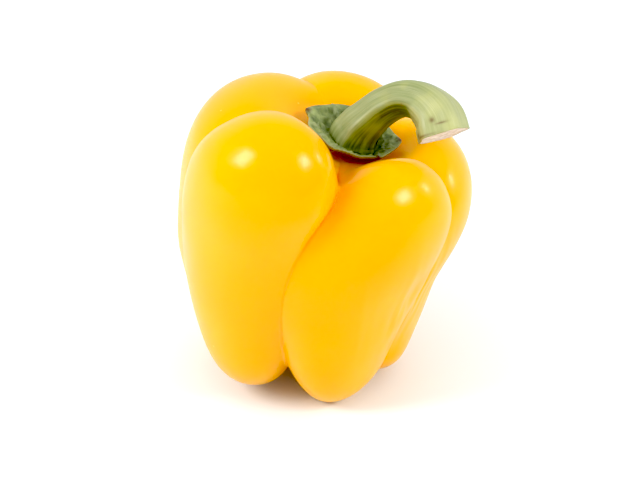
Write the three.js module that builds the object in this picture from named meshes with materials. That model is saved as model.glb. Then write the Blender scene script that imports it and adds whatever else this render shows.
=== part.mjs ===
// A fresh bell pepper, as picked: one fruit with five lobes, the leafy calyx on its top and the curved stem.
// Millimetres, +Z up. It stands on the feet of four lobes, and its origin is under the middle of its box.
import * as THREE from "three";

// Driving dimensions. Lengths are in millimetres, azimuths and angles in degrees, and azimuth 0 is +X.
const NAVEL_HEIGHT = 10; // the blossom end, above the floor
const SEAT_HEIGHT = 83; // where the calyx sits, along the fruit's own axis
const FOOT_REACH = 46; // the reach that all the lobes share down at their feet
const FOOT_FLAT = 0.5; // the feet are pressed flat by this much where they touch the floor
const LEAN = 19; // how far the top of the fruit bends over
const LEAN_TOWARDS = -10;
const TWIST_ONSET = 3; // above 1, a groove does most of its twist near the seat
const SWAY_LIFT = 1.5; // above 1, a groove swings furthest aside above half height
const GAP = 0.3; // between pieces that touch

// The lobes go round the fruit. Each starts at the groove `from` and ends where the next one starts.
// `twist` is how far that groove turns between the floor and the seat, `sway` how far it swings aside
// on its way up, and `fold` how deep it is: 1 is the full depth of the groove's own line.
const LOBES = [
  { from: -34, twist: 7, sway: -1, fold: 0.75, reach: 42.5, crest: 91, foot: 0 }, // right
  { from: 43, twist: 3, sway: 0, fold: 0.7, reach: 44, crest: 88.3, foot: 0 }, // back
  { from: 112, twist: 3, sway: 0, fold: 0.5, reach: 45, crest: 85.8, foot: 0 }, // back left
  { from: 190, twist: 9, sway: 0, fold: 0.85, reach: 55.5, crest: 99.5, foot: 3.5 }, // front left
  { from: 261, twist: 3, sway: -6, fold: 1.1, reach: 44, crest: 96, foot: 0 }, // front right
];

// Two lines run from the blossom end to the calyx: one over the middle of a lobe, one along a groove.
// Radii are shares of the lobe's reach. `crease` is how the lobe comes down to the groove: 1 is a plain
// fold, less is a fuller lobe with a tighter fold, and more is a soft valley.
// Outside, heights are shares of the way from the lobe's foot to its crest.
const OUTSIDE = [
  { lobe: [0.0, 0.11], groove: [0.0, 0.11], crease: 1.0 },
  { lobe: [0.2, 0.06], groove: [0.14, 0.1], crease: 0.8 },
  { lobe: [0.39, 0.0], groove: [0.28, 0.1], crease: 0.7 },
  { lobe: [0.55, 0.01], groove: [0.43, 0.12], crease: 0.7 },
  { lobe: [0.72, 0.09], groove: [0.59, 0.18], crease: 0.8 },
  { lobe: [0.83, 0.27], groove: [0.72, 0.32], crease: 1.0 },
  { lobe: [0.92, 0.5], groove: [0.82, 0.5], crease: 1.1 },
  { lobe: [1.0, 0.72], groove: [0.86, 0.67], crease: 0.9 },
  { lobe: [0.95, 0.89], groove: [0.82, 0.79], crease: 0.6 },
  { lobe: [0.76, 0.985], groove: [0.66, 0.86], crease: 0.5 },
];
// Inside the crown of lobes, heights are shares of the way from the seat to the crest.
const INSIDE = [
  { lobe: [0.54, 0.9], groove: [0.48, -0.15], crease: 0.5 },
  { lobe: [0.36, 0.14], groove: [0.32, -0.1], crease: 0.7 },
  { lobe: [0.2, -0.03], groove: [0.16, -0.04], crease: 1.0 },
  { lobe: [0.0, 0.0], groove: [0.0, 0.0], crease: 1.0 },
];
const CREASE_ROUND = 0.06;
const SEGMENTS_PER_LOBE = 14;
const RINGS = 46;

// The crown, which is the calyx and the stem, stands a little off the middle of the seat and above it.
const CROWN_OFFSET = [2.2, -2.5, 0.4];

// The calyx is a shallow cup round the stem's foot: flat in the middle, with a wall that rises to the rim.
// The rim has pointed corners, and between two of them it draws in to a share of their reach.
const CALYX = { flat: 8.8, rise: 2.9, thickness: 1.2, drawnIn: 0.88 };
const CALYX_CURL = 1.1; // above 1, the cup's wall steepens towards its rim
const CALYX_STEPS = 8;
const CALYX_SEGMENTS = 48;
const CORNERS = [
  { at: 23, reach: 14.7 },
  { at: 92, reach: 16.0 },
  { at: 172, reach: 17.2 },
  { at: 199, reach: 15.8 },
  { at: 246, reach: 14.3 },
  { at: 315, reach: 11.8 },
];

// The stem rises from the calyx and bends over, away from its foot, to a flared cut end.
const STEM_BASE = GAP + CALYX.thickness + GAP;
const STEM_PATH = [
  [0, 0, STEM_BASE],
  [0, 0, 4.2],
  [1.2, 0.2, 8.4],
  [4.2, 0.4, 15.0],
  [8.4, -0.6, 20.5],
  [13.7, -3.4, 23.2],
  [19.0, -7.2, 22.7],
  [22.8, -10.6, 19.8],
];
const STEM_RADII = [8.2, 7.0, 6.1, 5.4, 5.2, 5.7, 6.6, 7.2];
const STEM_RIDGES = 5;
const STEM_RIDGE_SHARE = 0.07;
const STEM_SEGMENTS = 30;
const STEM_STEPS = 30;

const radians = THREE.MathUtils.degToRad;
const mix = THREE.MathUtils.lerp;

// A line of the fruit as a smooth curve of [radius, height]: the lobe's middle at fold 0, a groove at fold 1.
function lineOf({ reach, crest, foot }, fold) {
  const outside = OUTSIDE.map(({ lobe, groove }, i) => {
    const share = mix(lobe[1], groove[1], fold);
    const radius = mix(FOOT_REACH, reach, share) * mix(lobe[0], groove[0], fold);
    return new THREE.Vector2(radius, i === 0 ? NAVEL_HEIGHT : mix(foot, crest, share));
  });
  const inside = INSIDE.map(({ lobe, groove }) => {
    const radius = reach * mix(lobe[0], groove[0], fold);
    return new THREE.Vector2(radius, mix(SEAT_HEIGHT, crest, mix(lobe[1], groove[1], fold)));
  });
  return new THREE.SplineCurve([...outside, ...inside]);
}

const lines = LOBES.map((lobe, i) => {
  const before = LOBES.at(i - 1);
  const shared = {
    reach: (lobe.reach + before.reach) / 2,
    crest: (lobe.crest + before.crest) / 2,
    foot: (lobe.foot + before.foot) / 2,
  };
  return { lobe: lineOf(lobe, 0), groove: lineOf(shared, lobe.fold) };
});

const creases = [...OUTSIDE, ...INSIDE].map(({ crease }) => crease);

function creaseAt(along) {
  const place = along * (creases.length - 1);
  const i = Math.min(Math.floor(place), creases.length - 2);
  return mix(creases[i], creases[i + 1], place - i);
}

// The azimuth of a lobe's groove at a height.
function grooveAt(i, height) {
  const { from, twist, sway } = LOBES[i];
  const up = Math.max(height / SEAT_HEIGHT, 0);
  return from + twist * up ** TWIST_ONSET + sway * Math.sin(Math.PI * Math.min(up, 1) ** SWAY_LIFT);
}

// A point of the skin: `along` goes from the blossom end, 0, to the seat, 1, and `round` once round the fruit.
function skinPoint(along, round) {
  const turn = (round % 1) * LOBES.length;
  const i = Math.floor(turn);
  const next = (i + 1) % LOBES.length;
  const side = Math.sin((Math.PI / 2) * (2 * (turn - i) - 1)); // -1 and 1 in the grooves, 0 in the middle
  const fold = Math.cos((Math.PI / 2) * side);
  const rounded = Math.sqrt((fold ** 2 + CREASE_ROUND ** 2) / (1 + CREASE_ROUND ** 2));
  const groove = lines[i].groove.getPoint(along).lerp(lines[next].groove.getPoint(along), (side + 1) / 2);
  const middle = lines[i].lobe.getPoint(along);
  const { x: radius, y: height } = groove.lerp(middle, rounded ** creaseAt(along));
  const azimuth = mix(grooveAt(i, height), grooveAt(next, height) + (next === 0 ? 360 : 0), (side + 1) / 2);
  const across = new THREE.Vector2(radius, 0).rotateAround(new THREE.Vector2(), radians(azimuth));
  const upright = new THREE.Vector3(across.x, across.y, height);
  const point = bend(upright);
  return point.setZ(Math.max(point.z, FOOT_FLAT) - FOOT_FLAT);
}

// The fruit's axis is an arc: upright at the floor, and leaning by LEAN at the seat.
function bend(point) {
  const towards = new THREE.Vector3(Math.cos(radians(LEAN_TOWARDS)), Math.sin(radians(LEAN_TOWARDS)), 0);
  const arc = SEAT_HEIGHT / radians(LEAN);
  const angle = Math.max(point.z, 0) / arc;
  const out = point.dot(towards);
  const bent = new THREE.Vector3(point.x, point.y, 0);
  bent.addScaledVector(towards, (arc - out) * (1 - Math.cos(angle)));
  return bent.setZ(point.z < 0 ? point.z : (arc - out) * Math.sin(angle));
}

function fruit() {
  const around = SEGMENTS_PER_LOBE * LOBES.length;
  const geometry = new THREE.SphereGeometry(1, around, RINGS);
  const { position, uv } = geometry.attributes;
  for (let i = 0; i < position.count; i++) {
    const step = THREE.MathUtils.euclideanModulo(Math.round(uv.getX(i) * around), around);
    const p = skinPoint(uv.getY(i), step / around);
    position.setXYZ(i, p.x, p.y, p.z);
  }
  return geometry;
}

// How far the calyx reaches out at an azimuth, drawn in between two corners and full at their points.
function calyxReach(azimuth) {
  const after = CORNERS.findIndex(({ at }) => at > azimuth);
  const b = CORNERS.at(after < 0 ? 0 : after);
  const a = CORNERS.at(after < 0 ? -1 : after - 1);
  const span = THREE.MathUtils.euclideanModulo(b.at - a.at, 360);
  const share = THREE.MathUtils.euclideanModulo(azimuth - a.at, 360) / span;
  const point = Math.abs(2 * share - 1) ** 2;
  return mix(a.reach, b.reach, share) * mix(CALYX.drawnIn, 1, point);
}

function calyx() {
  const { flat, rise, thickness } = CALYX;
  const outward = Array.from({ length: CALYX_STEPS + 1 }, (_, i) => i / CALYX_STEPS);
  const under = outward.map((share) => new THREE.Vector2(share, GAP));
  const over = outward.map((share) => new THREE.Vector2(share, GAP + thickness)).reverse();
  const profile = [...under, ...over];
  const geometry = new THREE.LatheGeometry(profile, CALYX_SEGMENTS);
  const { position } = geometry.attributes;
  for (let i = 0; i < position.count; i++) {
    const degrees = ((Math.floor(i / profile.length) % CALYX_SEGMENTS) * 360) / CALYX_SEGMENTS;
    const { x: share, y: height } = profile[i % profile.length];
    const reach = calyxReach(degrees);
    const radius = share * reach;
    const curl = rise * (Math.max(radius - flat, 0) / (reach - flat)) ** CALYX_CURL;
    const azimuth = radians(degrees);
    position.setXYZ(i, radius * Math.cos(azimuth), radius * Math.sin(azimuth), height + curl);
  }
  return geometry;
}

// A smooth curve through one value for each point of the stem's path.
function radiusAt(share) {
  const points = STEM_RADII.map((radius, i) => new THREE.Vector2(i, radius));
  return new THREE.SplineCurve(points).getPoint(share).y;
}

function stem() {
  const path = new THREE.CatmullRomCurve3(STEM_PATH.map((p) => new THREE.Vector3(...p)));
  const { normals, binormals } = path.computeFrenetFrames(STEM_STEPS);
  const geometry = new THREE.CylinderGeometry(1, 1, 1, STEM_SEGMENTS, STEM_STEPS);
  const { position } = geometry.attributes;
  for (let i = 0; i < position.count; i++) {
    const step = Math.round((0.5 - position.getY(i)) * STEM_STEPS);
    const [x, z] = [position.getX(i), position.getZ(i)];
    const share = step / STEM_STEPS;
    const ridge = 1 + STEM_RIDGE_SHARE * Math.cos(STEM_RIDGES * Math.atan2(z, x));
    const radius = radiusAt(path.getUtoTmapping(share)) * ridge;
    const p = path.getPointAt(share);
    p.addScaledVector(normals[step], x * radius);
    p.addScaledVector(binormals[step], z * radius);
    position.setXYZ(i, p.x, p.y, p.z);
  }
  return geometry;
}

function piece(name, geometry, color, roughness) {
  const mesh = new THREE.Mesh(geometry, new THREE.MeshStandardMaterial({ color, roughness, metalness: 0 }));
  mesh.name = name;
  return mesh;
}

// The seat leans with the fruit: its own X is the way that the fruit leans.
const seat = new THREE.Group();
seat.position.copy(bend(new THREE.Vector3(0, 0, SEAT_HEIGHT))).z -= FOOT_FLAT;
seat.rotation.set(0, radians(LEAN), radians(LEAN_TOWARDS), "ZYX");

const crown = new THREE.Group();
crown.position.set(...CROWN_OFFSET);
crown.add(piece("calyx", calyx(), 0x7a8048, 0.6));
crown.add(piece("stem", stem(), 0xa3ac72, 0.55));
seat.add(crown);

const pepper = new THREE.Group();
pepper.add(piece("fruit", fruit(), 0xfdc107, 0.25));
pepper.add(seat);

const box = new THREE.Box3().setFromObject(pepper, true);
const middle = box.getCenter(new THREE.Vector3());
pepper.position.set(-middle.x, -middle.y, -box.min.z);

export default pepper;
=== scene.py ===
"""A fresh yellow bell pepper on a pale table: the fruit, its leafy calyx and the cut stem.

Metres, +Z up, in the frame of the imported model. Lengths in the constants are in millimetres.
"""

import math

import bmesh
import bpy
from mathutils import Matrix, Vector, noise


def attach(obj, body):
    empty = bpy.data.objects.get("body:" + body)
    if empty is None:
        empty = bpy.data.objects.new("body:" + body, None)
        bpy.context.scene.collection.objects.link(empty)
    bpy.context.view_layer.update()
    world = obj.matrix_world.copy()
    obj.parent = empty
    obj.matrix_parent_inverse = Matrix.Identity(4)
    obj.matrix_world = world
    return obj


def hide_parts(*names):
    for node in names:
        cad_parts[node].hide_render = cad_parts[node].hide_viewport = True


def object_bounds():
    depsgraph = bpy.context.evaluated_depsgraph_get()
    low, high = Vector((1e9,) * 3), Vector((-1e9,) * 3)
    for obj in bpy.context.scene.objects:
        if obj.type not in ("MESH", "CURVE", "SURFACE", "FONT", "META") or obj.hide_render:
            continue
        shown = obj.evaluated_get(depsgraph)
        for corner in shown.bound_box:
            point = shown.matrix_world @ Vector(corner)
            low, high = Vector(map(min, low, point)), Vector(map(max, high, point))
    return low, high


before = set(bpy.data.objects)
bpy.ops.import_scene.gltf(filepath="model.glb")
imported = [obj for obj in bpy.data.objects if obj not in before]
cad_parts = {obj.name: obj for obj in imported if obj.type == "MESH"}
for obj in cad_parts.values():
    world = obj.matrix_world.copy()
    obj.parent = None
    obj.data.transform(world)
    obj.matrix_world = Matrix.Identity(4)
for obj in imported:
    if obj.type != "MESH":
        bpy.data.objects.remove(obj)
cad_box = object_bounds()
middle = (cad_box[0] + cad_box[1]) / 2

MM = 0.001
WELD = 0.002 * MM  # the frame's loose triangles meet closer than this

# ---------------------------------------------------------------- mesh helpers


def add_object(name, data):
    """A new object that shows a mesh, a light or a camera."""
    made = bpy.data.objects.new(name, data)
    bpy.context.scene.collection.objects.link(made)
    return made


def joined_copy(node_name):
    """A bmesh of a frame node, its triangles welded and joined into four-sided faces."""
    bm = bmesh.new()
    bm.from_mesh(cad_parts[node_name].data)
    bmesh.ops.remove_doubles(bm, verts=bm.verts, dist=WELD)
    bmesh.ops.join_triangles(
        bm, faces=bm.faces, angle_face_threshold=math.pi, angle_shape_threshold=math.pi
    )
    return bm


def subdivided(bm, levels):
    """The smooth limit of a bmesh's surface, as a new bmesh with finer faces."""
    coarse = bpy.data.meshes.new("coarse")
    bm.to_mesh(coarse)
    bm.free()
    shown = add_object("coarse", coarse)
    subdivision = shown.modifiers.new("Subdivision", "SUBSURF")
    subdivision.levels = levels
    subdivision.render_levels = levels
    evaluated = shown.evaluated_get(bpy.context.evaluated_depsgraph_get())
    fine = bmesh.new()
    fine.from_mesh(evaluated.to_mesh())
    evaluated.to_mesh_clear()
    bpy.data.objects.remove(shown)
    bpy.data.meshes.remove(coarse)
    fine.normal_update()
    return fine


def finish_piece(name, bm, slot, replaces, *materials):
    """Turns a bmesh into a shaded piece that stands for a frame node."""
    mesh = bpy.data.meshes.new(name)
    for face in bm.faces:
        face.smooth = True
    bm.to_mesh(mesh)
    bm.free()
    piece = add_object(name, mesh)
    for material in materials:
        mesh.materials.append(material)
    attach(piece, "root")
    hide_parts(replaces)


def relax(bm, verts, factor):
    """Moves points towards the middle of their neighbours."""
    bmesh.ops.smooth_vert(
        bm, verts=verts, factor=factor, use_axis_x=True, use_axis_y=True, use_axis_z=True
    )


def clamp(value):
    """A value kept between 0 and 1."""
    return min(max(value, 0.0), 1.0)


def smoothstep(low, high, value):
    """0 below the low value, 1 above the high one, and a smooth rise between them."""
    share = clamp((value - low) / (high - low))
    return share * share * (3 - 2 * share)


def hump(off, width):
    """1 in the middle, falling off smoothly to both sides."""
    return math.exp(-((off / width) ** 2))


def apart(a, b):
    """The smallest turn between two angles in degrees."""
    return abs((a - b + 180) % 360 - 180)


# ------------------------------------------------------------ material helpers


def node(tree, kind, inputs=None, **settings):
    """A new shader node. Inputs are values, or sockets to link from."""
    made = tree.nodes.new(kind)
    for key, value in settings.items():
        setattr(made, key, value)
    for key, value in (inputs or {}).items():
        if isinstance(value, bpy.types.NodeSocket):
            tree.links.new(value, made.inputs[key])
        else:
            made.inputs[key].default_value = value
    return made


def mix_colour(tree, factor, a, b):
    """A colour between two others. Each of the three is a value, or a socket to link from."""
    made = node(tree, "ShaderNodeMix", data_type="RGBA")
    for socket, value in ((made.inputs[0], factor), (made.inputs[6], a), (made.inputs[7], b)):
        if isinstance(value, bpy.types.NodeSocket):
            tree.links.new(value, socket)
        else:
            socket.default_value = value
    return made.outputs[2]


def map_range(tree, value, from_min, from_max, to_min=0.0, to_max=1.0):
    """A value stretched from one range to another, and held at the ends."""
    made = node(tree, "ShaderNodeMapRange", {"Value": value, "From Min": from_min, "From Max": from_max})
    made.inputs["To Min"].default_value = to_min
    made.inputs["To Max"].default_value = to_max
    return made.outputs["Result"]


def attribute(tree, name, output="Fac"):
    """What the piece's own points store under a name."""
    return node(tree, "ShaderNodeAttribute", attribute_name=name).outputs[output]


def new_group(name, inputs, outputs):
    """A shader node group with its sockets made, and its own input and output nodes."""
    tree = bpy.data.node_groups.new(name, "ShaderNodeTree")
    for direction_of, sockets in (("INPUT", inputs), ("OUTPUT", outputs)):
        for socket_name, kind in sockets:
            tree.interface.new_socket(socket_name, in_out=direction_of, socket_type=kind)
    return tree, tree.nodes.new("NodeGroupInput"), tree.nodes.new("NodeGroupOutput")


def use_group(tree, group, inputs):
    """What a node group puts out, with its own values in this material."""
    return node(tree, "ShaderNodeGroup", inputs, node_tree=group).outputs[0]


def make_mottle():
    """Group: a colour that drifts between two others in soft patches."""
    sockets = [
        ("Vector", "NodeSocketVector"),
        ("Scale", "NodeSocketFloat"),
        ("Detail", "NodeSocketFloat"),
        ("Dark", "NodeSocketColor"),
        ("Light", "NodeSocketColor"),
    ]
    group, given, result = new_group("mottle", sockets, [("Color", "NodeSocketColor")])
    inputs = {key: given.outputs[key] for key in ("Vector", "Scale", "Detail")}
    patches = node(group, "ShaderNodeTexNoise", inputs).outputs["Fac"]
    share = map_range(group, patches, 0.32, 0.68)
    colour = mix_colour(group, share, given.outputs["Dark"], given.outputs["Light"])
    group.links.new(colour, result.inputs["Color"])
    return group


def make_grain():
    """Group: a normal roughened by a fine grain. Height is how far the grain stands out."""
    sockets = [
        ("Vector", "NodeSocketVector"),
        ("Scale", "NodeSocketFloat"),
        ("Height", "NodeSocketFloat"),
    ]
    group, given, result = new_group("grain", sockets, [("Normal", "NodeSocketVector")])
    inputs = {"Vector": given.outputs["Vector"], "Scale": given.outputs["Scale"], "Detail": 3.0}
    grain = node(group, "ShaderNodeTexNoise", inputs).outputs["Fac"]
    bump = node(group, "ShaderNodeBump", {"Distance": given.outputs["Height"], "Height": grain})
    group.links.new(bump.outputs["Normal"], result.inputs["Normal"])
    return group


def new_material(name):
    """A material with its node tree and its shader."""
    material = bpy.data.materials.new(name)
    material.use_nodes = True
    tree = material.node_tree
    return material, tree, tree.nodes["Principled BSDF"]


# ------------------------------------------------------------------- materials


def make_skin(mottle, grain):
    """Waxy yellow skin: deeper orange painted shade in the folds, paler in soft patches, with a few small
    pale specks.
    """
    material, tree, shader = new_material("pepper_skin")
    place = node(tree, "ShaderNodeTexCoord").outputs["Object"]
    tones = {"Dark": (0.87, 0.41, 0.002, 1), "Light": (0.89, 0.44, 0.003, 1)}
    yellow = use_group(tree, mottle, {"Vector": place, "Scale": 28.0, "Detail": 1.0, **tones})
    # Painted shade: the deeper a point lies in a fold, the more orange its colour.
    fold_shaded = mix_colour(tree, attribute(tree, "fold"), yellow, (0.9, 0.15, 0.001, 1))
    cells = node(tree, "ShaderNodeTexVoronoi", {"Vector": place, "Scale": 75.0})
    speck = map_range(tree, cells.outputs["Distance"], 0.03, 0.018)
    specked = mix_colour(tree, speck, fold_shaded, (0.92, 0.55, 0.07, 1))
    scarred = mix_colour(tree, attribute(tree, "scar"), specked, (0.16, 0.09, 0.03, 1))
    tree.links.new(scarred, shader.inputs["Base Color"])
    normal = use_group(tree, grain, {"Vector": place, "Scale": 1500.0, "Height": 0.004 * MM})
    tree.links.new(normal, shader.inputs["Normal"])
    shader.inputs["Roughness"].default_value = 0.36
    shader.inputs["Specular IOR Level"].default_value = 0.2
    shader.inputs["Coat Weight"].default_value = 0.4
    shader.inputs["Coat Roughness"].default_value = 0.2
    shader.inputs["Subsurface Weight"].default_value = 0.35
    shader.inputs["Subsurface Radius"].default_value = (1.0, 0.35, 0.05)
    shader.inputs["Subsurface Scale"].default_value = 6 * MM
    return material


def make_leaf(mottle, grain):
    """The calyx: a dull bluish green leaf, with pale ribs and rim, brown painted shade and painted orange
    reflection on its underside, and brown at its points.
    """
    material, tree, shader = new_material("calyx_leaf")
    place = node(tree, "ShaderNodeTexCoord").outputs["Object"]
    tones = {"Dark": (0.12, 0.16, 0.06, 1), "Light": (0.31, 0.36, 0.14, 1)}
    green = use_group(tree, mottle, {"Vector": place, "Scale": 330.0, "Detail": 4.0, **tones})
    # Painted shade and painted reflection of the orange fruit on the calyx's underside.
    painted_shade = mix_colour(tree, attribute(tree, "painted_shade"), green, (0.2, 0.16, 0.03, 1))
    ribbed = mix_colour(tree, attribute(tree, "rib"), painted_shade, (0.3, 0.34, 0.17, 1))
    tipped = mix_colour(tree, attribute(tree, "tip"), ribbed, (0.11, 0.05, 0.02, 1))
    tree.links.new(tipped, shader.inputs["Base Color"])
    normal = use_group(tree, grain, {"Vector": place, "Scale": 900.0, "Height": 0.12 * MM})
    tree.links.new(normal, shader.inputs["Normal"])
    shader.inputs["Roughness"].default_value = 0.5
    return material


def make_bark(mottle, grain):
    """The stem: pale green with lengthwise fibres, olive painted shade inside its bend, painted light
    towards the cut end, with brown stains.
    """
    material, tree, shader = new_material("stem_bark")
    place = node(tree, "ShaderNodeTexCoord").outputs["Object"]
    along = attribute(tree, "fibre", "Vector")
    tones = {"Dark": (0.2, 0.24, 0.085, 1), "Light": (0.33, 0.36, 0.17, 1)}
    pale = use_group(tree, mottle, {"Vector": along, "Scale": 1.2, "Detail": 4.0, **tones})
    # The olive copy of the green is painted shade on the inside of the bend.
    tones = {"Dark": (0.075, 0.1, 0.018, 1), "Light": (0.24, 0.28, 0.06, 1)}
    shaded_olive = use_group(tree, mottle, {"Vector": along, "Scale": 1.0, "Detail": 3.0, **tones})
    green = mix_colour(tree, attribute(tree, "painted_shade"), pale, shaded_olive)
    cloud = node(tree, "ShaderNodeTexNoise", {"Vector": place, "Scale": 110.0, "Detail": 2.0})
    blotch = map_range(tree, cloud.outputs["Fac"], 0.5, 0.75, 0, 0.4)
    ripe = mix_colour(tree, blotch, green, (0.5, 0.5, 0.12, 1))
    # Painted light: the stem is coloured paler towards its cut end.
    paler = mix_colour(tree, attribute(tree, "end_painted_light"), ripe, (0.58, 0.57, 0.28, 1))
    stained = mix_colour(tree, attribute(tree, "stain"), paler, (0.19, 0.14, 0.06, 1))
    tree.links.new(stained, shader.inputs["Base Color"])
    normal = use_group(tree, grain, {"Vector": along, "Scale": 2.5, "Height": 0.1 * MM})
    tree.links.new(normal, shader.inputs["Normal"])
    shader.inputs["Roughness"].default_value = 0.42
    return material


def make_cut(mottle, grain):
    """The cut end of the stem: pale, dry pith."""
    material, tree, shader = new_material("stem_cut")
    place = node(tree, "ShaderNodeTexCoord").outputs["Object"]
    tones = {"Dark": (0.6, 0.52, 0.44, 1), "Light": (0.86, 0.81, 0.74, 1)}
    pale = use_group(tree, mottle, {"Vector": place, "Scale": 600.0, "Detail": 3.0, **tones})
    tree.links.new(pale, shader.inputs["Base Color"])
    normal = use_group(tree, grain, {"Vector": place, "Scale": 1500.0, "Height": 0.15 * MM})
    tree.links.new(normal, shader.inputs["Normal"])
    shader.inputs["Roughness"].default_value = 0.6
    return material


# ----------------------------------------------------------------------- fruit

SKIN_LEVELS = 2
SKIN_RELAX = 0.5
UNDULATIONS = [(20, 0.35), (11, 0.1)]  # wavelength and height of the gentle waves in the skin
NAVEL_SCAR = 2.2
FOLD_ROUNDS = 60  # how far round a point the skin is averaged, to see how deep the point lies in a fold
FOLD_DEPTH = 1.3  # a point this deep counts as the bottom of a fold
SOFT_FOLDS = (8, 70)  # between these heights the folds are softened
SOFT_FROM = 0.05  # the share of a fold's depth from which a point is softened
SOFT_RISE = 12  # the softening sets in over this height, and it fades over SOFT_FADE
SOFT_FADE = 20
SOFT_ROUNDS = 24
SOFT_FACTOR = 0.7
SOFT_FILL = 3.2  # how far the bottom of a fold is filled
# Where the skin swells out or draws in: the middle of the place, how far it spreads, and by how much.
SWELLS = [((-43, 5, 43), 16, 1.4), ((36, 4, 38), 14, -1.4), ((19, -11, 8), 9, 2.2)]
# Faint lengthwise wrinkles: the middle of the place, how far they spread, and their height.
WRINKLES = ((24, -25, 40), 17, 0.9)
WRINKLE_WIDTH = 2.6
WRINKLE_LENGTH = 18
GIRTH_RADIUS = 35  # turns an azimuth into a distance across the skin


def pole_of(bm, low, high):
    """Where the faces of a bmesh meet like the slices of a pie, between two heights."""
    near = [v for v in bm.verts if low <= v.co.z <= high]
    return max(near, key=lambda v: len(v.link_edges)).co.copy()


def write_fold_depth(bm):
    """Stores how deep each point lies in a fold: 0 on the open skin, and 1 at the bottom."""
    layer = bm.verts.layers.float.new("fold")
    smooth = [v.co.copy() for v in bm.verts]
    near = [[e.other_vert(v).index for e in v.link_edges] for v in bm.verts]
    for _ in range(FOLD_ROUNDS):
        smooth = [sum((smooth[i] for i in around), Vector()) / len(around) for around in near]
    for v in bm.verts:
        v[layer] = clamp((smooth[v.index] - v.co).dot(v.normal) / (FOLD_DEPTH * MM))
    return layer


def nearness(point, place, spread):
    """1 at a place, falling off smoothly to 0 around it. The place and the spread are in millimetres."""
    return hump((point / MM - Vector(place)).length, spread)


def soften_folds(bm, fold):
    """Fills and smooths the folds between the heights of SOFT_FOLDS."""
    low, high = SOFT_FOLDS
    soft = [v for v in bm.verts if v[fold] > SOFT_FROM and low * MM < v.co.z < high * MM]
    for v in soft:
        height = v.co.z / MM
        risen = smoothstep(low, low + SOFT_RISE, height)
        fading = smoothstep(high - SOFT_FADE, high, height)
        v.co += v.normal * (SOFT_FILL * risen * (1 - fading) * v[fold] * MM)
    for _ in range(SOFT_ROUNDS):
        relax(bm, soft, SOFT_FACTOR)
    bm.normal_update()


def skin_relief(point):
    """How far the skin stands out at a point, in millimetres: its waves, swells and wrinkles."""
    relief = sum(height * noise.noise(point / (length * MM)) for length, height in UNDULATIONS)
    relief += sum(amount * nearness(point, place, spread) for place, spread, amount in SWELLS)
    place, spread, height = WRINKLES
    across = GIRTH_RADIUS * math.atan2(point.y, point.x)
    crinkle = noise.noise(Vector((across / WRINKLE_WIDTH, 0, point.z / MM / WRINKLE_LENGTH)))
    return relief + height * crinkle * nearness(point, place, spread)


def make_fruit(skin):
    """The fruit's skin made smooth, with its folds softened, a gentle relief and a flat spot to rest on."""
    bm = joined_copy("fruit")
    navel = pole_of(bm, 0, middle.z)
    bm = subdivided(bm, SKIN_LEVELS)
    relax(bm, bm.verts, SKIN_RELAX)
    bm.normal_update()
    bm.verts.index_update()
    soften_folds(bm, write_fold_depth(bm))
    scar = bm.verts.layers.float.new("scar")
    for v in bm.verts:
        v[scar] = 1 - smoothstep(NAVEL_SCAR * 0.5 * MM, NAVEL_SCAR * MM, (v.co - navel).length)
        v.co += v.normal * (skin_relief(v.co) * MM)
        v.co.z = max(v.co.z, 0)
    finish_piece("pepper_fruit", bm, "skin", "fruit", skin)


# ----------------------------------------------------------------------- crown

# The crown is the calyx and the stem. It leans with the fruit's axis and stands off the seat's middle.
LEAN = math.radians(19)
LEAN_TOWARDS = math.radians(-10)
CROWN_OFFSET = Vector((2.2, -2.5, 0.4))

CALYX_LEVELS = 3
TOP = (0, 0.5)  # how far the surface looks up the crown's axis, from its side to its top
UNDERSIDE = (-0.3, 0.2)
# Azimuths of the calyx's veins in the crown's own frame, in degrees: one to each corner, and some between.
VEINS = [23, 58, 92, 132, 172, 199, 222, 246, 280, 315, 349]
VEIN_START = (7, 9)  # how far out the veins begin to show
VEIN_WIDTH = 0.45
VEIN_HEIGHT = 0.3
VEIN_WANDER = 1.2
VEIN_WANDER_LENGTH = 4
VEIN_PALENESS = 0.7
BROWN_POINTS = [23, 172, 315]  # the corners that have dried brown
BROWN_WIDTH = 1.3
BROWN_START = (0.86, 0.96)  # shares of the calyx's reach
RIM_START = (0.965, 0.99)
CRUMPLE = 1.0  # height of the folds inside the calyx
CRUMPLE_LENGTH = 3.2
CREASE_SHARE = 0.4  # finer creases over the folds
CREASE_LENGTH = 1.2
CRUMPLE_START = (6.5, 9)
CRUMPLE_END = (0.85, 1)
RUFFLE = 0.5  # how far the calyx's rim waves up and down
RUFFLE_LENGTH = 5
RUFFLE_START = (0.6, 1)
SECTOR = 5  # the calyx's reach is measured in sectors of this many degrees

# The stem's path and its radii, in the crown's own frame, from the calyx to the cut end.
STEM_PATH = [
    (0, 0, 1.8),
    (0, 0, 4.2),
    (1.2, 0.2, 8.4),
    (4.2, 0.4, 15.0),
    (8.4, -0.6, 20.5),
    (13.7, -3.4, 23.2),
    (19.1, -7.2, 22.7),
    (22.5, -10.2, 19.4),
]
STEM_RADII = [7.4, 6.9, 6.1, 5.4, 5.2, 5.7, 6.7, 7.1]
STEM_AROUND = 160
STEM_STEPS = 160
STEM_INSIDE = 335  # angle round the stem of the inside of its bend, in degrees
RIDGES = 5
RIDGE_SHARE = 0.06  # height of the ridges as a share of the radius
RIDGE_TURN = 85  # from a ridge to the inside of the bend, in degrees
LUMP_SHARE = 0.04
LUMPS_ROUND = 1.5  # how closely the lumps are set
LUMPS_ALONG = 6  # how much of the pattern the stem's length takes up, in radii
# Past the bend the stem's inside swells like a hood. Starts and ends are shares of the stem's length,
# and sides are how far round from the inside, in degrees, a thing fades out.
HOOD_SHARE = 0.07
HOOD_START = (0.68, 0.74)
HOOD_SIDES = (80, 110)
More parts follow.
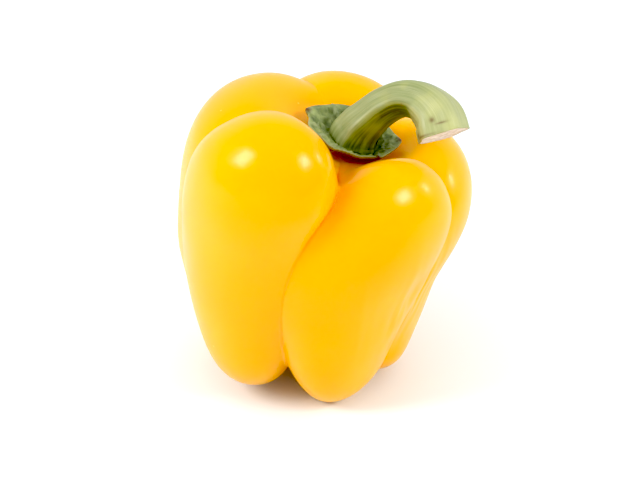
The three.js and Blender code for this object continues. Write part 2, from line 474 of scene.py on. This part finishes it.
# Painted shade: how far round the olive shade reaches from the inside of the bend, and where along the stem
# it ends.
OLIVE_SHADE_SIDES = (72, 94)
OLIVE_SHADE_END = (0.64, 0.74)
# Painted light: how much paler the stem is coloured towards its cut end, and where that begins.
END_LIGHTENING = 0.35
END_LIGHT_START = (0.66, 0.85)
# Stains: share of the stem's length, angle round it, half length as a share, half width in degrees.
STAINS = [
    (0.895, 226, 0.016, 6),
    (0.925, 206, 0.006, 14),
    (0.985, 262, 0.008, 34),
    (0.97, 285, 0.02, 16),
    (0.64, 256, 0.006, 5),
]
FIBRES_ROUND = 7  # how closely the fibre pattern is set round the stem and along it
FIBRES_ALONG = 3
BARK_EDGE = 0.5  # thickness of the bark round the cut end
CUT_RIM = 0.4
CUT_SINK = 0.3  # the pith has sunk in by this much


def crown_frame():
    """Where the crown stands on the fruit and how it leans."""
    bm = joined_copy("fruit")
    seat = pole_of(bm, middle.z, cad_box[1].z)
    bm.free()
    turn = Matrix.Rotation(LEAN_TOWARDS, 4, "Z") @ Matrix.Rotation(LEAN, 4, "Y")
    return Matrix.Translation(seat) @ turn @ Matrix.Translation(CROWN_OFFSET * MM)


def make_calyx(crown, leaf):
    """The calyx made smooth, with veins, crumpled folds, a waving rim and a few brown points."""
    bm = subdivided(joined_copy("calyx"), CALYX_LEVELS)
    rib = bm.verts.layers.float.new("rib")
    tip = bm.verts.layers.float.new("tip")
    painted_shade = bm.verts.layers.float.new("painted_shade")
    back = crown.inverted()
    up = crown.to_3x3() @ Vector((0, 0, 1))
    places = [back @ v.co / MM for v in bm.verts]
    azimuths = [math.degrees(math.atan2(own.y, own.x)) % 360 for own in places]
    radii = [math.hypot(own.x, own.y) for own in places]
    reach = [0.0] * (360 // SECTOR)
    for azimuth, radius in zip(azimuths, radii):
        sector = int(azimuth / SECTOR)
        reach[sector] = max(reach[sector], radius)
    for v, own, azimuth, radius in zip(bm.verts, places, azimuths, radii):
        edge = radius / reach[int(azimuth / SECTOR)]  # 1 at the rim
        upward = v.normal.dot(up)
        top = smoothstep(*TOP, upward)
        from_vein = radius * math.radians(min(apart(azimuth, at) for at in VEINS))
        from_vein += VEIN_WANDER * noise.noise(own / VEIN_WANDER_LENGTH)
        vein = hump(from_vein, VEIN_WIDTH) * smoothstep(*VEIN_START, radius) * top
        from_point = radius * math.radians(min(apart(azimuth, at) for at in BROWN_POINTS))
        v[rib] = max(VEIN_PALENESS * vein, smoothstep(*RIM_START, edge))
        v[tip] = hump(from_point, BROWN_WIDTH) * smoothstep(*BROWN_START, edge)
        # Painted shade: faces that look down the crown's axis get the brown underside colour.
        v[painted_shade] = 1 - smoothstep(*UNDERSIDE, upward)
        folds = 1 - 2 * abs(noise.noise(own / CRUMPLE_LENGTH))
        folds += CREASE_SHARE * noise.noise(own / CREASE_LENGTH)
        inside = smoothstep(*CRUMPLE_START, radius) * (1 - smoothstep(*CRUMPLE_END, edge))
        crumple = CRUMPLE * folds * inside
        ruffle = RUFFLE * noise.noise(own.xy.to_3d() / RUFFLE_LENGTH) * smoothstep(*RUFFLE_START, edge)
        v.co += up * ((top * (VEIN_HEIGHT * vein + crumple) + ruffle) * MM)
    finish_piece("pepper_calyx", bm, "calyx", "calyx", leaf)


def through(points, share):
    """Where the smooth curve through evenly spaced points is, at a share of its length from 0 to 1."""
    place = clamp(share) * (len(points) - 1)
    i = min(int(place), len(points) - 2)
    t = place - i
    b, c = points[i], points[i + 1]
    a = points[i - 1] if i else b * 2 - c
    d = points[i + 2] if i + 2 < len(points) else c * 2 - b
    slope = (c - a) * (t / 2)
    square = (a * 2 - b * 5 + c * 4 - d) * (t * t / 2)
    cube = (b * 3 - a - c * 3 + d) * (t * t * t / 2)
    return b + slope + square + cube


def stem_frames():
    """The stem's centre line: a list of (centre, side, other side), turning as little as it can."""
    path = [Vector(p) for p in STEM_PATH]
    centres = [through(path, i / STEM_STEPS) for i in range(STEM_STEPS + 1)]
    side, before = Vector((1, 0, 0)), Vector((0, 0, 1))
    frames = []
    for i, centre in enumerate(centres):
        ahead = centres[min(i + 1, STEM_STEPS)] - centres[max(i - 1, 0)]
        side = before.rotation_difference(ahead) @ side
        side = (side - ahead * (side.dot(ahead) / ahead.length_squared)).normalized()
        before = ahead
        frames.append((centre, side, ahead.cross(side).normalized()))
    return frames


def make_stem(crown, bark, cut):
    """The stem: a ridged tube along its path, closed at the foot, with bark round pith at the cut end."""
    bm = bmesh.new()
    bmesh.ops.create_grid(bm, x_segments=STEM_AROUND, y_segments=STEM_STEPS, size=1)
    fibre = bm.verts.layers.float_vector.new("fibre")
    painted_shade = bm.verts.layers.float.new("painted_shade")
    end_painted_light = bm.verts.layers.float.new("end_painted_light")
    stain = bm.verts.layers.float.new("stain")
    frames = stem_frames()
    for v in bm.verts:
        step = round((v.co.y + 1) / 2 * STEM_STEPS)
        share = step / STEM_STEPS
        degrees = (v.co.x + 1) * 180
        x, y = math.cos(math.radians(degrees)), math.sin(math.radians(degrees))
        from_inside = apart(degrees, STEM_INSIDE)
        turn = math.radians(degrees - STEM_INSIDE + RIDGE_TURN)
        ridge = RIDGE_SHARE * math.cos(RIDGES * turn)
        hood = HOOD_SHARE * smoothstep(*HOOD_START, share) * (1 - smoothstep(*HOOD_SIDES, from_inside))
        lump = LUMP_SHARE * noise.noise(Vector((x, y, LUMPS_ALONG * share)) * LUMPS_ROUND)
        radius = through(STEM_RADII, share) * (1 + ridge + hood + lump)
        centre, side, other = frames[step]
        v[fibre] = (FIBRES_ROUND * x, FIBRES_ROUND * y, FIBRES_ALONG * share)
        # Painted shade on the inside of the bend, fading out towards the cut end.
        v[painted_shade] = (1 - smoothstep(*OLIVE_SHADE_SIDES, from_inside)) * (1 - smoothstep(*OLIVE_SHADE_END, share))
        # Painted light towards the cut end.
        v[end_painted_light] = END_LIGHTENING * smoothstep(*END_LIGHT_START, share)
        v[stain] = max(
            hump(share - at, length) * hump(apart(degrees, around), width)
            for at, around, length, width in STAINS
        )
        v.co = crown @ ((centre + (side * x + other * y) * radius) * MM)
    bmesh.ops.remove_doubles(bm, verts=bm.verts, dist=WELD)
    ends = bmesh.ops.holes_fill(bm, edges=bm.edges, sides=0)["faces"]
    bmesh.ops.recalc_face_normals(bm, faces=bm.faces)
    foot = crown.translation
    ends.sort(key=lambda end: (end.calc_center_median() - foot).length)
    for end in ends:
        bmesh.ops.inset_region(bm, faces=[end], thickness=BARK_EDGE * MM, depth=0)
    ends[-1].material_index = 1
    bmesh.ops.inset_region(bm, faces=ends[-1:], thickness=CUT_RIM * MM, depth=-CUT_SINK * MM)
    bmesh.ops.poke(bm, faces=ends)
    finish_piece("pepper_stem", bm, "stem", "stem", bark, cut)


# ---------------------------------------------------- floor, lights and camera

FLOOR_HALF = 3
# Softboxes round the pepper: azimuth and elevation in degrees, width and height in metres, and watts.
SOFTBOXES = {
    "left_softbox": (-66, 38, 0.2, 0.32, 2.9),
    "right_softbox": (62, 37, 0.2, 0.16, 1.8),
    "side_softbox": (104, 20, 0.06, 0.1, 0.4),
}
SOFTBOX_AWAY = 0.7
ROOM_FRONT = 0.72  # how bright the room is behind the camera, and at its sides and back
ROOM_BACK = 1.04
CAMERA_LENS = 95.8
CAMERA_ELEVATION = 32
CAMERA_AWAY = 0.52
CAMERA_AIM = Vector((-1.9, 4.2, -7.9))  # off the middle of the pepper's box, in millimetres
BLACK_LEVEL = 0.06


def make_floor():
    """A wide white table under the pepper."""
    bm = bmesh.new()
    bmesh.ops.create_grid(bm, x_segments=1, y_segments=1, size=FLOOR_HALF)
    mesh = bpy.data.meshes.new("floor")
    bm.to_mesh(mesh)
    bm.free()
    floor = add_object("floor", mesh)
    material, _, shader = new_material("white_table")
    shader.inputs["Base Color"].default_value = (0.86, 0.9, 0.95, 1)
    shader.inputs["Roughness"].default_value = 0.9
    shader.inputs["Specular IOR Level"].default_value = 0.1
    mesh.materials.append(material)


def direction(azimuth, elevation):
    """Azimuth 0 is the camera's side, and positive is to its right. Degrees."""
    a, e = math.radians(azimuth), math.radians(elevation)
    return Vector((math.cos(e) * math.sin(a), -math.cos(e) * math.cos(a), math.sin(e)))


def look_at(turned, spot):
    """Turns a light or a camera to look at a spot."""
    turned.rotation_euler = (spot - turned.location).to_track_quat("-Z", "Y").to_euler()


def add_softbox(name, azimuth, elevation, width, height, power):
    """A rectangular light that faces the middle of the pepper."""
    light = bpy.data.lights.new(name, "AREA")
    light.shape = "RECTANGLE"
    light.size, light.size_y = width, height
    light.energy = power
    softbox = add_object(name, light)
    softbox.location = middle + direction(azimuth, elevation) * SOFTBOX_AWAY
    look_at(softbox, middle)


def light_scene():
    """A white room, a little dimmer behind the camera, and the softboxes."""
    world = bpy.data.worlds.new("white_room")
    world.use_nodes = True
    tree = world.node_tree
    sky = tree.nodes["Background"]
    way = node(tree, "ShaderNodeTexCoord").outputs["Generated"]
    depth = node(tree, "ShaderNodeSeparateXYZ", {"Vector": way}).outputs["Y"]
    tree.links.new(map_range(tree, depth, -1, 0.1, ROOM_FRONT, ROOM_BACK), sky.inputs["Strength"])
    sky.inputs["Color"].default_value = (1, 1, 1, 1)
    bpy.context.scene.world = world
    for name, settings in SOFTBOXES.items():
        add_softbox(name, *settings)


def add_camera():
    """A camera that looks down on the pepper from the front."""
    lens = bpy.data.cameras.new("camera")
    lens.sensor_width = 36
    lens.lens = CAMERA_LENS
    camera = add_object("camera", lens)
    aim = middle + CAMERA_AIM * MM
    camera.location = aim + direction(0, CAMERA_ELEVATION) * CAMERA_AWAY
    look_at(camera, aim)
    bpy.context.scene.camera = camera


def set_view():
    """Plain colours, with the darkest tones pulled down a little."""
    view = bpy.context.scene.view_settings
    view.view_transform = "Standard"
    view.use_curve_mapping = True
    view.curve_mapping.black_level = (BLACK_LEVEL, BLACK_LEVEL, BLACK_LEVEL)


# ------------------------------------------------------------------------ main

crown = crown_frame()
mottle, grain = make_mottle(), make_grain()
make_fruit(make_skin(mottle, grain))
make_calyx(crown, make_leaf(mottle, grain))
make_stem(crown, make_bark(mottle, grain), make_cut(mottle, grain))
make_floor()
light_scene()
add_camera()
set_view()
